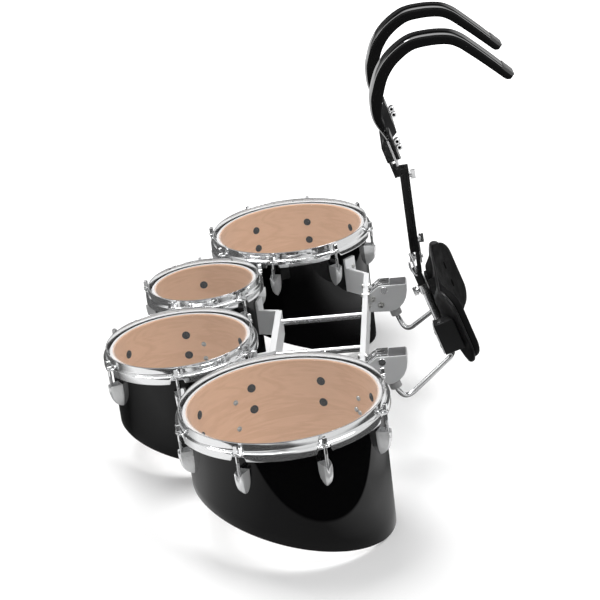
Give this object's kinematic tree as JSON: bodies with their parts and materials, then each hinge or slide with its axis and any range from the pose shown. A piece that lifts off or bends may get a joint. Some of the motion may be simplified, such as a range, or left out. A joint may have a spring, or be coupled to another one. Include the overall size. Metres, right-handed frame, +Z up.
{
  "type": "marching tenor drums",
  "caption": "Marching tenor drums with slant-cut shells and clear heads on a bar frame, with a shoulder carrier hooked onto it by bent rods.",
  "frame": {"origin": "middle of the bounding box in X and Y, at the level of the three shell rims that the set stands on", "axes": "+X towards the player who wears the carrier, +Y along the row of drums to the right in the picture of the row, +Z up"},
  "size_m": [0.7214, 1.1722, 0.7638],
  "materials": {
    "lacquer": "gloss",
    "chrome": "polished",
    "film": "gloss",
    "aluminium": "satin",
    "casting": "satin",
    "black_metal": "satin",
    "foam": "matte"
  },
  "bodies": {
    "drums": {"shell_13": "lacquer", "hoop_13": "chrome", "head_13": "film", "shell_10": "lacquer", "hoop_10": "chrome", "head_10": "film", "shell_8": "lacquer", "hoop_8": "chrome", "head_8": "film", "shell_12": "lacquer", "hoop_12": "chrome", "head_12": "film", "rear_bar": "aluminium", "front_bar": "aluminium", "cross_tube_left": "chrome", "cross_tube_right": "chrome", "link_left": "aluminium", "link_middle": "aluminium", "link_right": "aluminium", "receiver_left": "casting", "receiver_plate_left": "chrome", "receiver_right": "casting", "receiver_plate_right": "chrome"},
    "j_rods": {"j_rod_left": "chrome", "j_rod_right": "chrome", "stop_collar_left": "casting", "stop_collar_right": "casting"},
    "belly": {"belly_plate": "black_metal", "belly_post": "chrome", "rod_clamp_left": "black_metal", "rod_clamp_right": "black_metal", "belly_pad_left": "foam", "belly_pad_right": "foam"},
    "lower": {"post_collar": "chrome", "lower_block": "black_metal", "slider": "black_metal", "rear_bracket": "chrome", "bracket_screw": "chrome"},
    "spine": {"spine": "black_metal", "spine_cap": "black_metal", "chest_plate": "black_metal"},
    "hook_left": {"hook_strap_left": "black_metal", "hook_pad_left": "foam"},
    "hook_right": {"hook_strap_right": "black_metal", "hook_pad_right": "foam"},
    "receiver_screw_left": {"receiver_screw_left": "chrome"},
    "receiver_screw_right": {"receiver_screw_right": "chrome"},
    "collar_wing_bolt": {"collar_wing_bolt": "chrome"},
    "slider_wing_bolt": {"slider_wing_bolt": "chrome"},
    "height_wing_bolt": {"height_wing_bolt": "chrome"},
    "spine_wing_bolt": {"spine_wing_bolt": "chrome"},
    "hook_knob_left_1": {"hook_knob_left_1": "chrome"},
    "hook_knob_left_2": {"hook_knob_left_2": "chrome"},
    "hook_knob_right_1": {"hook_knob_right_1": "chrome"},
    "hook_knob_right_2": {"hook_knob_right_2": "chrome"}
  },
  "joints": [
    {"name": "rods_slide", "type": "slide", "parent": "drums", "child": "j_rods", "axis": [0.3867, 0.019, -0.922], "range_m": [0, 0.04]},
    {"name": "belly_slide", "type": "slide", "parent": "j_rods", "child": "belly", "axis": [-0.3862, -0.0348, 0.9217], "range_m": [0, 0.02]},
    {"name": "post_slide", "type": "slide", "parent": "belly", "child": "lower", "axis": [-0.3862, -0.0348, 0.9217], "range_m": [0, 0.015]},
    {"name": "spine_slide", "type": "slide", "parent": "lower", "child": "spine", "axis": [-0.1304, -0.0218, 0.9912], "range_m": [0, 0.03]},
    {"name": "hook_left_slide", "type": "slide", "parent": "spine", "child": "hook_left", "axis": [-0.3701, -0.034, 0.9284], "range_m": [-0.008, 0.014]},
    {"name": "hook_right_slide", "type": "slide", "parent": "spine", "child": "hook_right", "axis": [-0.3701, -0.034, 0.9284], "range_m": [-0.008, 0.014]},
    {"name": "receiver_screw_left_turn", "type": "hinge", "parent": "drums", "child": "receiver_screw_left", "pos_m": [0.14332, -0.18205, 0.19281], "axis": [-0.001, 0.9998, 0.0202], "continuous": true},
    {"name": "receiver_screw_right_turn", "type": "hinge", "parent": "drums", "child": "receiver_screw_right", "pos_m": [0.14298, 0.14788, 0.19947], "axis": [-0.001, 0.9998, 0.0202], "continuous": true},
    {"name": "collar_wing_bolt_turn", "type": "hinge", "parent": "lower", "child": "collar_wing_bolt", "pos_m": [0.20878, 0.00262, 0.25704], "axis": [-0.9208, -0.0448, -0.3875], "continuous": true},
    {"name": "slider_wing_bolt_turn", "type": "hinge", "parent": "lower", "child": "slider_wing_bolt", "pos_m": [0.20511, 0.00094, 0.35729], "axis": [0.9899, 0.0524, 0.1314], "continuous": true},
    {"name": "height_wing_bolt_turn", "type": "hinge", "parent": "lower", "child": "height_wing_bolt", "pos_m": [0.20225, 0.00131, 0.32161], "axis": [-0.9899, -0.0524, -0.1314], "continuous": true},
    {"name": "spine_wing_bolt_turn", "type": "hinge", "parent": "spine", "child": "spine_wing_bolt", "pos_m": [0.18919, -0.00171, 0.47822], "axis": [0.9899, 0.0524, 0.1314], "continuous": true},
    {"name": "hook_knob_left_1_turn", "type": "hinge", "parent": "hook_left", "child": "hook_knob_left_1", "pos_m": [0.171, -0.10207, 0.55917], "axis": [0.9274, 0.0454, 0.3714], "continuous": true},
    {"name": "hook_knob_left_2_turn", "type": "hinge", "parent": "hook_left", "child": "hook_knob_left_2", "pos_m": [0.16681, -0.10245, 0.5697], "axis": [0.9274, 0.0454, 0.3714], "continuous": true},
    {"name": "hook_knob_right_1_turn", "type": "hinge", "parent": "hook_right", "child": "hook_knob_right_1", "pos_m": [0.16026, 0.09362, 0.56205], "axis": [0.9274, 0.0454, 0.3714], "continuous": true},
    {"name": "hook_knob_right_2_turn", "type": "hinge", "parent": "hook_right", "child": "hook_knob_right_2", "pos_m": [0.15606, 0.09323, 0.57258], "axis": [0.9274, 0.0454, 0.3714], "continuous": true}
  ]
}
